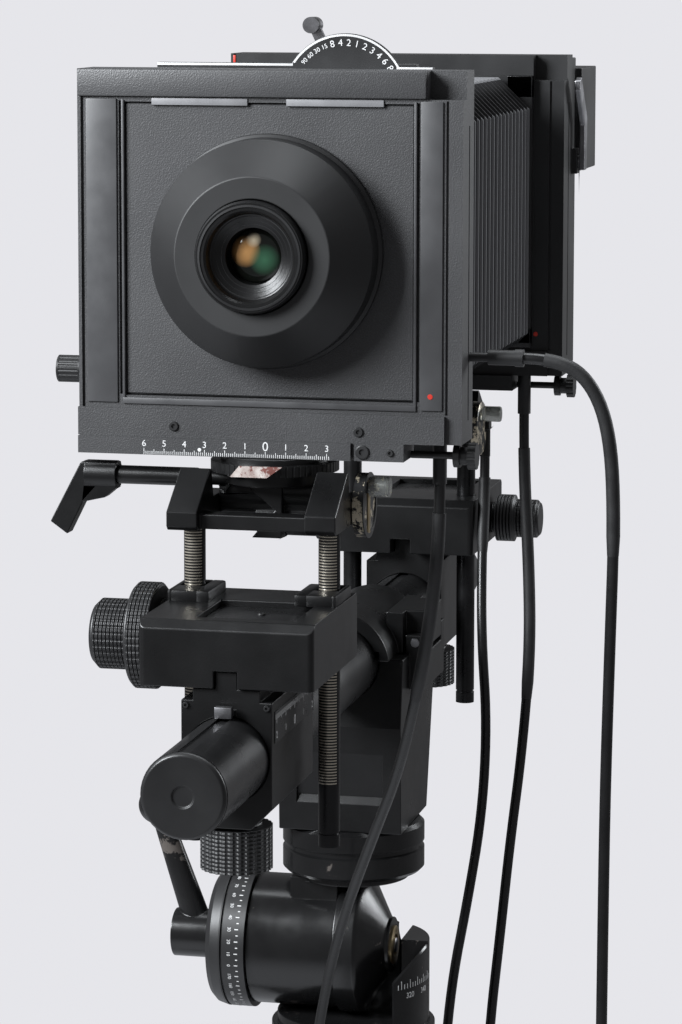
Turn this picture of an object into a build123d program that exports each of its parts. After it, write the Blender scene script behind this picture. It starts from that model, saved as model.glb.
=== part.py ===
from build123d import *
import math
import os

# Monorail view camera on a pan-and-tilt head and a three-legged tripod.
# Millimetres, +Z up. The lens looks along -Y and +X is to the right of a
# viewer who faces the lens. Every sub-part is drawn about the lens centre:
# x = 0 is the middle plane, y = 0 the front face of the front frame, and
# z = 0 the lens axis. save() moves the finished part so that the floor is
# z = 0 and the middle of the whole footprint is x = y = 0.

# ---- driving dimensions ------------------------------------------------
LENS_HEIGHT = 1086.0        # lens axis above the floor
BOARD = 140.0               # square lens board
FRAME_HALF = 94.0           # half the width of a standard's frame
FRAME_TOP = 86.0            # top of a frame above the lens axis
FRAME_FOOT = -90.0          # bottom of a frame
FRAME_DEPTH = 27.0
REAR_FRAME_Y = 294.0        # front face of the rear frame
BELLOWS_HALF = 77.0
RAIL_R = 20.0
RAIL_Z = -228.3
RAIL_FRONT = -158.0
RAIL_REAR = 452.0
POST_X = 33.0               # posts stand this far each side of the middle
POST_R = 5.2
POST_FOOT = -283.5
POST_OFFSET = 26.5          # posts to swing axis, along Y
SWING_DROP = FRAME_DEPTH / 2    # swing axis behind the frame's front face
TILT_Z = -122.0             # tilt axis
BEARER_TOP = -164.0
BEARER_FOOT = -195.0
BLOCK_HALF = 21.6
BLOCK_FOOT = -261.0
HEAD_Y = 190.0              # pan axis of the head
TILT_AXIS_Z = -388.0        # tilt axis of the head
DRUM_R = 35.0
PLATFORM_R = 38.0
PLATFORM_TOP = -319.0
HEAD_FOOT = -446.0
LEG_ANGLE = 23.0            # each leg's angle from upright
LEG_RADIUS = 48.0           # leg hinges from the pan axis
LEG_HINGE_Z = -482.0
LEG_AZIMUTHS = (-30.0, 90.0, 210.0)
CABLE_D = 5.5
COIL_R = 30.0               # middle of a cable coil's turns
COIL_TURNS = 3
GAP = 0.3                   # clearance between parts that move past each other

FLOOR = -LENS_HEIGHT
FOOT_DROP = LEG_HINGE_Z - FLOOR
LEG_LENGTH = FOOT_DROP / math.cos(math.radians(LEG_ANGLE))
FOOT_RADIUS = LEG_RADIUS + FOOT_DROP * math.tan(math.radians(LEG_ANGLE))

parts = {}


# ---- shapes --------------------------------------------------------------
def block(x0, x1, y0, y1, z0, z1):
    """A box between two corners."""
    size = Box(abs(x1 - x0), abs(y1 - y0), abs(z1 - z0))
    return Pos((x0 + x1) / 2, (y0 + y1) / 2, (z0 + z1) / 2) * size


def rod_x(x0, x1, y, z, r):
    """A round bar along X."""
    return Pos((x0 + x1) / 2, y, z) * Rot(0, 90, 0) * Cylinder(r, abs(x1 - x0))


def rod_y(y0, y1, x, z, r):
    """A round bar along Y."""
    return Pos(x, (y0 + y1) / 2, z) * Rot(90, 0, 0) * Cylinder(r, abs(y1 - y0))


def rod_z(z0, z1, x, y, r):
    """A round bar along Z."""
    return Pos(x, y, (z0 + z1) / 2) * Cylinder(r, abs(z1 - z0))


def turned(profile, axis):
    """A solid turned about an axis from (radius, along) points."""
    if axis == "y":
        points = [(r, along, 0) for r, along in profile]
        face = make_face(Polyline(*points, close=True))
        return revolve(face, Axis.Y)
    if axis == "x":
        points = [(along, r, 0) for r, along in profile]
        face = make_face(Polyline(*points, close=True))
        return revolve(face, Axis.X)
    points = [(r, 0, along) for r, along in profile]
    face = make_face(Polyline(*points, close=True))
    return revolve(face, Axis.Z)


def side_plate(outline, x0, x1):
    """A plate with a (y, z) outline, thick along X."""
    face = make_face(Polyline(*[(x0, y, z) for y, z in outline], close=True))
    return extrude(face, amount=x1 - x0, dir=(1, 0, 0))


def grooves_x(x0, x1, y, z, r, count, depth):
    """Ribs round a knob on an X axis: small round cuts along it."""
    cuts = Part()
    for i in range(count):
        turn = 2 * math.pi * i / count
        cuts += rod_x(x0, x1, y + r * math.cos(turn), z + r * math.sin(turn), depth)
    return cuts


def grooves_z(z0, z1, x, y, r, count, depth):
    """Ribs round a knob on a Z axis."""
    cuts = Part()
    for i in range(count):
        turn = 2 * math.pi * i / count
        cuts += rod_z(z0, z1, x + r * math.cos(turn), y + r * math.sin(turn), depth)
    return cuts


# ---- tripod ----------------------------------------------------------------
def at_leg(shape, azimuth):
    """Turn a shape drawn in the XZ plane of a leg to the leg's azimuth."""
    return Pos(0, HEAD_Y, 0) * Rot(0, 0, azimuth) * shape


def leg_frame(shape):
    """Place a shape drawn down -Z from the hinge along a spread leg."""
    return Pos(LEG_RADIUS, 0, LEG_HINGE_Z) * Rot(0, -LEG_ANGLE, 0) * shape


def make_tripod():
    crown = rod_z(HEAD_FOOT - GAP, -520, 0, 0, 34)
    crown += rod_z(HEAD_FOOT - GAP - 8, HEAD_FOOT - GAP, 0, 0, 42)
    crown += rod_z(HEAD_FOOT - GAP, HEAD_FOOT + 14, 0, 0, 8)
    crown += rod_z(-545, -520, 0, 0, 9)
    for azimuth in LEG_AZIMUTHS:
        tongue = block(20, LEG_RADIUS, -6, 6, LEG_HINGE_Z - 9, LEG_HINGE_Z + 9)
        eye = Pos(LEG_RADIUS, 0, LEG_HINGE_Z) * Rot(90, 0, 0) * Cylinder(9, 12)
        pin = Pos(LEG_RADIUS, 0, LEG_HINGE_Z) * Rot(90, 0, 0) * Cylinder(4, 26)
        crown += Rot(0, 0, azimuth) * (tongue + eye + pin)
    parts["tripod_crown"] = Pos(0, HEAD_Y, 0) * crown
    for i, azimuth in enumerate(LEG_AZIMUTHS, 1):
        cheeks = block(-9, 9, -12.5, -6.4, -34, 0) + block(-9, 9, 6.4, 12.5, -34, 0)
        cheeks += Rot(90, 0, 0) * Cylinder(9, 25) - Rot(90, 0, 0) * Cylinder(10, 12.8)
        bore = Rot(90, 0, 0) * Cylinder(4.05, 30)
        upper = cheeks + rod_z(-350, -30, 0, 0, 14) - rod_z(-351, -70, 0, 0, 10.8)
        upper += rod_z(-372, -350, 0, 0, 17) - rod_z(-373, -349, 0, 0, 10.8)
        upper -= bore
        lower = rod_z(-LEG_LENGTH + 14, -80, 0, 0, 10.5)
        lower += rod_z(-LEG_LENGTH - 12, -LEG_LENGTH + 30, 0, 0, 14)
        parts[f"leg_upper_{i}"] = at_leg(leg_frame(upper), azimuth)
        foot = at_leg(leg_frame(lower), azimuth)
        below = block(-600, 600, -600, 800, FLOOR - 100, FLOOR)
        parts[f"leg_lower_{i}"] = foot - below


# ---- pan and tilt head -------------------------------------------------------
def make_head():
    base = rod_z(HEAD_FOOT, -430, 0, HEAD_Y, 44) + rod_z(-430, -385, 0, HEAD_Y, 41)
    base -= block(-60, 60, HEAD_Y - 60, HEAD_Y, -424.5, -380)
    base -= rod_x(-60, -4.2, HEAD_Y, TILT_AXIS_Z, DRUM_R + 0.6)
    base -= rod_x(-4.4, 26, HEAD_Y, TILT_AXIS_Z, 37.05)
    base -= rod_z(HEAD_FOOT - 1, HEAD_FOOT + 14.3, 0, HEAD_Y, 8.3)
    parts["pan_base"] = base

    cap_profile = [(0, -4), (37, -4), (37, 7), (35, 9), (15, 20), (15, 22), (0, 22)]
    cap = turned(cap_profile, "x") + rod_x(-99, -3, 0, 0, 6)
    parts["tilt_cap"] = Pos(0, HEAD_Y, TILT_AXIS_Z) * cap

    ring_profile = [(6.02, -74), (33, -74), (36, -71), (37.5, -66), (37.5, -52), (6.02, -52)]
    ring = turned(ring_profile, "x") - rod_x(-80, -51, 0, 0, 6.02)
    ring -= rod_x(-65.2, -64, 0, 0, 60) - rod_x(-66, -63, 0, 0, 36.3)
    parts["tilt_ring"] = Pos(0, HEAD_Y, TILT_AXIS_Z) * ring

    drum = rod_x(-51.7, -4.3, HEAD_Y, TILT_AXIS_Z, DRUM_R)
    neck = block(-30, -4.3, HEAD_Y - 21, HEAD_Y + 21, -362, PLATFORM_TOP - 29)
    drum += neck + rod_z(-350, PLATFORM_TOP - 27, 0, HEAD_Y, 30)
    drum -= rod_x(-60, 0, HEAD_Y, TILT_AXIS_Z, 6.05)
    drum -= rod_x(-4.3, 60, HEAD_Y, TILT_AXIS_Z, 37.4)
    parts["tilt_drum"] = drum

    r = PLATFORM_R
    top = PLATFORM_TOP
    disc_profile = [(0, top), (r - 2, top), (r, top - 2), (r, top - 11), (r - 1.5, top - 12),
                    (r - 1.5, top - 14), (r, top - 15), (r, top - 25), (r - 2, top - 27), (0, top - 27)]
    parts["platform_disc"] = Pos(0, HEAD_Y, 0) * turned(disc_profile, "z")

    hub = rod_x(-99, -74.3, HEAD_Y, TILT_AXIS_Z, 13) - rod_x(-100, -74, HEAD_Y, TILT_AXIS_Z, 6.05)
    start = Vector(-87.5, HEAD_Y, TILT_AXIS_Z + 8)
    end = Vector(-109, HEAD_Y, -318)
    along = (end - start).normalized()
    length = (end - start).length
    arm = Plane(origin=start, z_dir=along) * Pos(0, 0, length / 2) * Cone(7.5, 5, length)
    arm -= rod_x(-100, -74, HEAD_Y, TILT_AXIS_Z, 6.05)
    tip = Pos(end.X, end.Y, end.Z) * Sphere(10.5)
    parts["tilt_handle"] = hub + arm + tip


# ---- rail and its clamp --------------------------------------------------------
def make_rail():
    outline = [(160, -226.3), (243, -226.3), (243, -246), (224, PLATFORM_TOP), (156, PLATFORM_TOP),
               (154, -262)]
    bracket = side_plate(outline, -33, 33)
    bracket -= rod_y(100, 300, 0, RAIL_Z, RAIL_R + 0.2)
    bracket -= block(-60, 60, 100, 300, -226.2, -200)
    relief = side_plate([(150, -246), (158, -300), (150, -312)], -23, 23)
    bracket -= relief
    bracket += block(33, 41, 176, 230, -245, -226.3)

    jaw = rod_y(152, 243, 0, RAIL_Z, 27) - rod_y(100, 300, 0, RAIL_Z, RAIL_R + 0.2)
    jaw += block(20.5, 41, 176, 230, -226, -204) - rod_y(100, 300, 0, RAIL_Z, 26)
    jaw += block(-33, -20.5, 182, 222, -226, -212) - rod_y(100, 300, 0, RAIL_Z, 26)
    jaw -= block(-60, 60, 100, 300, -300, -226)
    jaw -= block(29.4, 60, 170, 184, -240, -190) + block(29.4, 60, 222, 240, -240, -190)
    jaw -= rod_y(170, 240, 36, -220, 3.4)
    jaw -= rod_z(-212, -190, -27, 202, 6.5)
    jaw -= block(36, 42, 170, 240, -227, -223.8) + block(18, 21.5, 100, 300, -226.1, -221)
    parts["clamp_jaw"] = jaw
    for y0, y1 in ((176, 183.7), (222.3, 230)):
        bracket += block(31, 41, y0, y1, -226.3, -216)
    parts["clamp_bracket"] = bracket + rod_y(176, 230, 36, -220, 3)

    handle = rod_y(152, 202, -27, -207.8, 3.2) + rod_y(146, 156, -27, -207.8, 4.6)
    parts["clamp_lever"] = rod_z(-211.7, -203.5, -27, 202, 6) + handle

    tube = rod_y(RAIL_FRONT + 3, RAIL_REAR - 3, 0, RAIL_Z, RAIL_R)
    tube -= rod_y(RAIL_FRONT, RAIL_REAR, 0, RAIL_Z, RAIL_R - 4)
    groove = block(-3, 3, RAIL_FRONT, RAIL_REAR, RAIL_Z + RAIL_R - 1.2, RAIL_Z + RAIL_R + 2)
    parts["rail_tube"] = tube - groove
    cap = turned([(0, 0), (18.5, 0), (RAIL_R - 0.2, 1.4), (RAIL_R - 0.2, 3), (RAIL_R - 4.1, 3),
                  (RAIL_R - 4.1, 12), (0, 12)], "y")
    cap -= rod_y(-1, 0.8, 0, 0, 5)
    front_cap = Pos(0, RAIL_FRONT, RAIL_Z) * cap
    rear_cap = Pos(0, RAIL_REAR, RAIL_Z) * Rot(0, 0, 180) * cap
    parts["rail_caps"] = [front_cap, rear_cap]


# ---- a standard: block, bearer, posts, yoke, tilt head, swing disc --------------
def make_standard(name, frame_y, side):
    """side is -1 where the posts stand in front of the swing axis, +1 behind."""
    swing_y = frame_y + SWING_DROP

    def y_at(offset):
        """A place along Y, counted away from the swing axis on the posts' side."""
        return swing_y + side * offset

    post_y = y_at(POST_OFFSET)

    body = block(-BLOCK_HALF, BLOCK_HALF, y_at(94.5), y_at(12), BLOCK_FOOT, BEARER_FOOT - 0.3)
    for sign in (-1, 1):
        body -= Pos(sign * BLOCK_HALF, 0, BLOCK_FOOT) * Rot(0, 45, 0) * Box(14, 900, 14)
        body -= Pos(0, swing_y, 0) * block(sign * 16, sign * 30, -200, 200, -201, -190)
    body += block(-5.2, 5.2, y_at(94.5), y_at(12), -196, -187.3)
    body -= rod_y(y_at(200), y_at(-50), 0, RAIL_Z, RAIL_R + GAP)
    body += block(-4.4, 4.4, y_at(97), y_at(94.5), -207.5, -205)
    parts[f"{name}_block"] = body

    knob = rod_z(-283.5, -262.8, 0, 0, 17) - grooves_z(-285, -260, 0, 0, 18.2, 28, 1.8)
    knob += rod_z(-262.8, BLOCK_FOOT - 0.3, 0, 0, 12)
    parts[f"{name}_block_knob"] = Pos(0, y_at(76), 0) * knob

    bearer = block(-41.5, 41.5, y_at(96.5), y_at(1.5), BEARER_FOOT, BEARER_TOP)
    bearer = chamfer(bearer.edges().filter_by(Axis.X).group_by(Axis.Z)[-1], 4)
    bearer = fillet(bearer.edges().filter_by(Axis.Z), 3)
    bearer -= block(-17, 30, y_at(84), y_at(38), BEARER_TOP - 4, BEARER_TOP + 2)
    bearer -= block(-5.6, 5.6, y_at(120), y_at(-20), BEARER_FOOT - 1, -186.9)
    for sign in (-1, 1):
        bearer -= rod_z(-220, -140, sign * POST_X, post_y, POST_R + 0.3)
    parts[f"{name}_bearer"] = bearer

    if side < 0:
        steps = [(0, -42), (18, -42), (18, -47.6), (24, -47.6), (25.6, -49), (25.6, -58.5), (24, -60),
                 (15, -60), (17, -62), (17, -77), (14, -80), (0, -80)]
        focus = turned(steps, "x")
        focus -= grooves_x(-59.2, -48.4, 0, 0, 26.5, 48, 1.3)
        focus -= grooves_x(-78, -62, 0, 0, 17.9, 34, 1.3)
        parts[f"{name}_focus_knob"] = Pos(0, y_at(33.5), -183.5) * focus
    else:
        steps = [(0, 42), (9, 42), (9, 44), (13.5, 45), (13.5, 55), (11, 56), (11, 68), (9, 70), (0, 70)]
        focus = turned(steps, "x") - grooves_x(56.5, 69, 0, 0, 11.9, 24, 1.1)
        parts[f"{name}_focus_knob"] = Pos(0, y_at(63), -182) * focus

    posts = []
    for sign in (-1, 1):
        post = rod_z(POST_FOOT, -128, sign * POST_X, post_y, POST_R)
        post -= rod_z(POST_FOOT + 6, POST_FOOT + 7.2, sign * POST_X, post_y, 9) - rod_z(
            POST_FOOT, POST_FOOT + 9, sign * POST_X, post_y, 4.6)
        posts.append(post)
    parts[f"{name}_posts"] = posts

    cheeks = [(y_at(49), -121), (y_at(23), -103.5), (y_at(21), -104), (y_at(17.5), -117.5),
              (y_at(-9), -117.5), (y_at(-9), -130), (y_at(47), -130), (y_at(49), -128)]
    left = side_plate(cheeks, -41, -26)
    right = side_plate(cheeks, 26, 41)
    tie = block(-26.5, 26.5, y_at(44), y_at(32), -129.5, -122.5)
    yoke = left + right + tie
    yoke -= rod_x(-60, 60, swing_y, TILT_Z, 3.05)
    for sign in (-1, 1):
        yoke -= rod_z(-140, -128, sign * POST_X, post_y, POST_R + 0.02)
    parts[f"{name}_yoke"] = yoke

    barrel = rod_x(-25.6, 25.6, swing_y, -116, 9.4) + rod_x(-25.6, 25.6, swing_y, TILT_Z, 7)
    barrel += rod_x(-42, 41.2, swing_y, TILT_Z, 3)
    barrel += rod_x(-8, 22, swing_y, -130, 8)
    vee = [(y_at(10), -108), (y_at(12), -138), (y_at(-10), -138), (y_at(-10), -108)]
    web = side_plate(vee, -22, 6)
    wedge = Pos(-26, swing_y, -140) * Rot(0, 40, 0) * Box(24, 60, 60)
    barrel += web - wedge
    barrel += rod_z(-112, -106.3, 0, swing_y, 24)
    barrel -= rod_z(-107, -90, 0, swing_y, 5.05)
    parts[f"{name}_tilt_head"] = barrel

    disc = rod_z(-106, -101, 0, 0, 31) + rod_z(-101, FRAME_FOOT - 8.6, 0, 0, 26)
    disc += rod_z(-106.9, -106, 0, 0, 5)
    disc -= grooves_z(-106, -101, 0, 0, 31.4, 60, 0.7)
    parts[f"{name}_swing_disc"] = Pos(0, swing_y, 0) * disc
    return swing_y


def make_tilt_scale(swing_y, x0):
    """Round tilt scale and the tubular level beside it, both on the yoke."""
    scale = rod_x(x0, x0 + 5, swing_y, TILT_Z, 15.5) - rod_x(x0 - 1, x0 + 9, swing_y, TILT_Z, 3.3)
    level = rod_x(x0 + 5, x0 + 14.2, swing_y, TILT_Z + 9, 4.6)
    return scale + level


# ---- frames ----------------------------------------------------------------------
def make_frame(name, frame_y):
    body = block(-FRAME_HALF, FRAME_HALF, 0, FRAME_DEPTH, FRAME_FOOT, FRAME_TOP)
    body -= block(-62, 62, -5, FRAME_DEPTH + 5, -62, 62)
    body -= block(-BOARD / 2 - 0.5, BOARD / 2 + 0.5, -5, 5.2, -BOARD / 2 - 0.5, BOARD / 2 + 0.5)
    body -= block(76.8, FRAME_HALF + 1, -1, 9, 72.5, FRAME_TOP + 1)
    body -= block(-92.4, -90.9, -1, 1.5, FRAME_FOOT - 1, FRAME_TOP + 1)
    body -= block(86, 87.2, -1, 1.2, -76, 72)
    body -= block(FRAME_HALF - 1.2, FRAME_HALF + 1, 15, 17, -80, 60)
    for sign in (-1, 1):
        body -= block(sign * 72.2, sign * 73.4, -1, 2, -70, 71)
    body += block(-FRAME_HALF, 86, -2.4, 0.5, FRAME_FOOT, -76.5)
    bar = block(-93, 41.5, -6, 21, FRAME_FOOT - 8.3, FRAME_FOOT)
    bar += block(43, 67, -5, 19, FRAME_FOOT - 8.3, FRAME_FOOT)
    bar += block(41, 43.5, -3, 17, FRAME_FOOT - 7, FRAME_FOOT)
    body += bar
    parts[f"{name}_frame"] = Pos(0, frame_y, 0) * body

    z = FRAME_FOOT - 6.8
    stem = rod_x(67.1, 91, SWING_DROP, z, 1.8)
    knob = rod_x(88, 91, SWING_DROP, z, 5.6) + rod_x(90, 96, SWING_DROP, z, 4.4)
    knob += rod_x(95, 99, SWING_DROP, z, 6.4) - grooves_x(94.9, 99.1, SWING_DROP, z, 7.4, 12, 1.4)
    parts[f"{name}_shift_knob"] = Pos(0, frame_y, 0) * (stem + knob)


def make_front():
    make_frame("front", 0)
    half = BOARD / 2
    board = block(-half, half, 1, 5, -half, half) - rod_y(-5, 10, 0, 0, 27.2)
    parts["lens_board"] = chamfer(board.edges().group_by(Axis.Y)[0].filter_by(Axis.X), 0.8)
    hood_profile = [(27, 0.9), (56, 0.9), (56, -1.5), (54, -2.5), (54, -14.7), (37.5, -32.5), (27, -32.5)]
    parts["lens_hood"] = turned(hood_profile, "y")
    barrel_profile = [(0, 22), (26, 22), (26, 5), (26.6, 4), (26.6, -35), (25.6, -37.5), (22, -37.5),
                      (21, -36.5), (20, -33), (13.5, -29), (13.2, -22), (0, -22)]
    parts["lens_barrel"] = turned(barrel_profile, "y")

    plate = block(-62, 66, 27.3, 33, 62, 88.5)
    dial = rod_y(27.3, 31, 31, 72, 30.8) - block(-20, 80, 20, 40, 30, 63)
    tail = block(56, 74, 27.3, 33, 80, 87)
    parts["shutter_dial"] = plate + dial + tail
    arm_y0, arm_y1 = 33.3, 36.3
    swing = math.radians(116)
    lever = rod_y(arm_y0, arm_y1, 31, 72, 5)
    length = 38.5
    arm = Pos(31, (arm_y0 + arm_y1) / 2, 72) * Rot(0, -116, 0) * Pos(length / 2, 0, 0) * Box(length, 3, 5)
    knob = rod_y(27.5, 38, 31 + length * math.cos(swing), 72 + length * math.sin(swing), 3.9)
    parts["dial_lever"] = lever + arm + knob

    knob = rod_x(-108, -96, 0, 0, 6.6) - grooves_x(-107, -97, 0, 0, 7.4, 20, 1.1)
    knob += rod_x(-96.5, -94.3, 0, 0, 4)
    parts["front_side_knob"] = Pos(0, SWING_DROP, -60) * knob

    side_gland = rod_x(FRAME_HALF, 103, 20, -50, 2.2) + rod_x(103, 116, 20, -50, 3.7)
    side_gland += rod_x(116, 120, 20, -50, 4.2)
    foot_gland = rod_z(-112, FRAME_FOOT, 79, 23.4, 3.4)
    parts["front_glands"] = [side_gland, foot_gland]


def make_rear():
    make_frame("rear", REAR_FRAME_Y)
    back_y = REAR_FRAME_Y + FRAME_DEPTH
    half = FRAME_HALF - 0.5
    back = block(-half, half, back_y, back_y + 15, -86, 84)
    back -= block(-66, 66, back_y + 8, back_y + 20, -56, 56)
    back += block(58, 97, back_y + 15, back_y + 66, 21, 78)
    back += block(-58, 58, REAR_FRAME_Y + 8, back_y, -58, 58)
    back += block(half, 96.9, back_y + 1, back_y + 11, 20, 34)
    parts["film_back"] = back
    outline = [(-4, -5), (4, -5), (5, 24), (-16, 47), (-22, 45), (-22, 40), (-4, 20)]
    lever = side_plate(outline, 0, 3) + rod_x(-1, 0, 0, 0, 4)
    parts["back_lever"] = Pos(FRAME_HALF + 3.9, back_y + 6, 27) * lever
    parts["rear_glands"] = [rod_z(-112, FRAME_FOOT, 72, 300, 3.6)]


def make_bellows(front_y, rear_y):
    outer = block(-BELLOWS_HALF, BELLOWS_HALF, front_y, rear_y, -72, 75)
    inner = block(-BELLOWS_HALF + 9, BELLOWS_HALF - 9, front_y - 1, rear_y + 1, -63, 66)
    parts["bellows"] = outer - inner


def make_lever(swing_y):
    """Lock lever on the front tilt head: a rod to the left with a hanging paddle."""
    y = swing_y - 8
    z = -110
    rod = rod_x(-36, -20, y, z, 3.6) + rod_x(-84, -36, y, z, 4.5)
    outline = [(-94, -104), (-76, -104), (-76, -116), (-82, -121), (-93, -123.5), (-101, -139.5),
               (-109.5, -133.5)]
    paddle = make_face(Polyline(*[(x, y - 4.5, height) for x, height in outline], close=True))
    grip = extrude(paddle, amount=9, dir=(0, 1, 0)) + rod_x(-92, -76, y, z, 6.8)
    return rod, grip - rod_x(-84.2, -60, y, z, 4.55)


# ---- cables ------------------------------------------------------------------------
def arc_radii(points):
    """The largest arc that each corner's two runs allow, 0.45 of the shorter."""
    radii = []
    for a, b, c in zip(points, points[1:], points[2:]):
        before = Vector(*b) - Vector(*a)
        after = Vector(*c) - Vector(*b)
        turn = math.radians(before.get_angle(after))
        run = min(before.length, after.length)
        radii.append(0.45 * run / math.tan(turn / 2))
    return radii


def make_cable(name, points):
    radii = arc_radii(points)
    path = FilletPolyline(*[Vector(*p) for p in points], radius=radii)
    start = Plane(origin=path @ 0, z_dir=path % 0)
    tube = sweep(start * Circle(CABLE_D / 2), path=path)
    parts[name] = tube
    section = math.pi * CABLE_D**2 / 4
    print(name, "length", round(path.length, 1), "tightest", round(min(radii), 1),
          "volume ratio", round(tube.volume / (section * path.length), 4))


def make_coil(name, x, y, azimuth):
    """A put-away coil on the floor, with a straight way in on top and out below."""
    wide = CABLE_D / 2
    height = CABLE_D * (COIL_TURNS + 1)
    ring = rod_z(0, height, 0, 0, COIL_R + wide) - rod_z(-1, height + 1, 0, 0, COIL_R - wide)
    way_in = rod_y(-25, 0, COIL_R, height - wide, wide - 0.01)
    way_out = rod_y(0, 30, COIL_R, wide, wide - 0.01)
    parts[name] = Pos(x, y, FLOOR) * Rot(0, 0, azimuth) * (ring + way_in + way_out)
    plug = rod_y(30, 52, COIL_R, 4.5, 4.5) + rod_y(52, 60, COIL_R, 4.5, 3)
    return Pos(x, y, FLOOR) * Rot(0, 0, azimuth) * plug


# Each route is the cable's corners, from its gland to the way into its coil.
ROUTES = {
    "1": [(120, 20, -50), (136.5, 20, -50), (152, 21, -60), (161, 24, -84), (163, 28, -126),
          (161, 31, -190), (159, 34, -262), (158, 38, -335), (157, 43, -410), (157, 46, -488),
          (156, 48, -566), (155, 49, -644), (155, 49, -722), (154, 48, -800), (153, 46, -876),
          (152.5, 43, -950), (152, 38, -1020), (150, 18, -1066.75), (150, -32, -1066.75)],
    "2": [(72, 300, -112), (72, 300, -142), (76, 296, -195), (78, 291, -245), (75, 284, -300),
          (70, 276, -350), (66, 270, -400), (61, 264, -455), (59, 259, -520), (60, 256, -590),
          (62, 254, -665), (65, 254, -742), (68, 255, -820), (71, 257, -895), (73, 259, -962),
          (74.74, 261.52, -1020), (92.05, 271.52, -1066.75), (135.35, 296.52, -1066.75)],
    "3": [(46, 322, -140), (46, 322, -158), (46.5, 312, -192), (49, 298, -238), (54, 290, -285),
          (53, 283, -335), (46, 277, -385), (38, 271, -432), (34, 267, -490), (34, 265, -560),
          (36, 264, -635), (39, 264, -712), (42, 265, -790), (43, 266, -868), (44, 266.5, -945),
          (44.98, 268.03, -1020), (54.98, 285.35, -1066.75), (79.98, 328.65, -1066.75)],
    "4": [(79, 23.4, -112), (79, 23.4, -134), (75, 27, -172), (66, 38, -215), (52, 60, -262),
          (32, 85, -306), (13, 104, -352), (0, 115, -400), (-9, 121, -460), (-15, 123, -528),
          (-19, 123, -600), (-22, 122, -675), (-25, 120, -752), (-28, 117, -830), (-30, 114, -905),
          (-31, 112, -965), (-30, 109.93, -1020), (-36.84, 91.14, -1066.75), (-53.94, 44.15, -1066.75)],
}
# Each coil's middle and the turn of its way in, in degrees.
COILS = {
    "1": (180, -57, 180),
    "2": (142, 335, -60),
    "3": (66.5, 365.3, -30),
    "4": (-34.3, 10.4, 160),
}


def make_cables():
    plugs = []
    for key, points in ROUTES.items():
        make_cable(f"cable_{key}", points)
        plugs.append(make_coil(f"cable_coil_{key}", *COILS[key]))
    parts["cable_plugs"] = plugs


def whole():
    solids = []
    for shape in parts.values():
        solids += shape if isinstance(shape, list) else [shape]
    return Compound(children=[Part() + solid for solid in solids])


# ---- build -------------------------------------------------------------------------
make_tripod()
make_head()
make_rail()
front_swing_y = make_standard("front", 0, -1)
rear_swing_y = make_standard("rear", REAR_FRAME_Y, 1)
parts["front_tilt_scale"] = make_tilt_scale(front_swing_y, 41.4)
parts["rear_yoke"] += block(40, 49, 318, 326, -124, -117) + rod_z(-140, -124, 46, 322, 3)
lever_rod, lever_grip = make_lever(front_swing_y)
parts["front_tilt_head"] += lever_rod
parts["front_lever"] = lever_grip
make_front()
make_rear()
make_bellows(FRAME_DEPTH + 12, REAR_FRAME_Y - 0.3)
make_cables()

os.makedirs("parts", exist_ok=True)
box = whole().bounding_box()
SHIFT = (-(box.min.X + box.max.X) / 2, -(box.min.Y + box.max.Y) / 2, -FLOOR)
print("box", box.min, box.max, "shift", [round(v, 3) for v in SHIFT])
for name, shape in parts.items():
    solids = shape if isinstance(shape, list) else [shape]
    solids = [Pos(*SHIFT) * solid for solid in solids]
    export_step(Compound(children=solids) if len(solids) > 1 else solids[0], f"parts/{name}.step")
print(len(parts), "nodes")
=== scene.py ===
import bpy
import bmesh
import math
from mathutils import Matrix, Vector


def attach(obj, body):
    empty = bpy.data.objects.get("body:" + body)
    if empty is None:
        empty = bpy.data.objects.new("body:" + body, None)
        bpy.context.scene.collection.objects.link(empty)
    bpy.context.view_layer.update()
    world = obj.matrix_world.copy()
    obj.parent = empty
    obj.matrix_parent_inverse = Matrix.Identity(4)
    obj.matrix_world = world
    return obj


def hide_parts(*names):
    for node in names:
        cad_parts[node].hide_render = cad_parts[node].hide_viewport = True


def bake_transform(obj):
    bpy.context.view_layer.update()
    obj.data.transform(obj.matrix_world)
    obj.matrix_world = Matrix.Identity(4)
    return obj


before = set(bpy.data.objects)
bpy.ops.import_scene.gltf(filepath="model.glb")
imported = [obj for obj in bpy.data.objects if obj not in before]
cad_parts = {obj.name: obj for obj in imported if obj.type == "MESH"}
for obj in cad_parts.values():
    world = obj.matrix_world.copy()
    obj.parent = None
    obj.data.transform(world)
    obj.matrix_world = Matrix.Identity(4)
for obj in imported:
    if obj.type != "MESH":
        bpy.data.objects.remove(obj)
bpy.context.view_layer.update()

# Shapes below are drawn in millimetres about the lens centre, as in the CAD
# model, and moved to the frame in metres when a piece is finished.
LENS_HEIGHT = 1.086
LENS_Y = -0.175796
HEAD_Y = 190                # the head pans about the upright line at this Y
MM = 0.001
TO_FRAME = Matrix.Translation((0, LENS_Y, LENS_HEIGHT)) @ Matrix.Scale(MM, 4)
TO_FRONT = (0, -1, 0)
TO_RIGHT = (1, 0, 0)
TO_BACK = (0, 1, 0)
UPWARD = (0, 0, 1)


def at(x, y, z):
    return TO_FRAME @ Vector((x, y, z))


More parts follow.
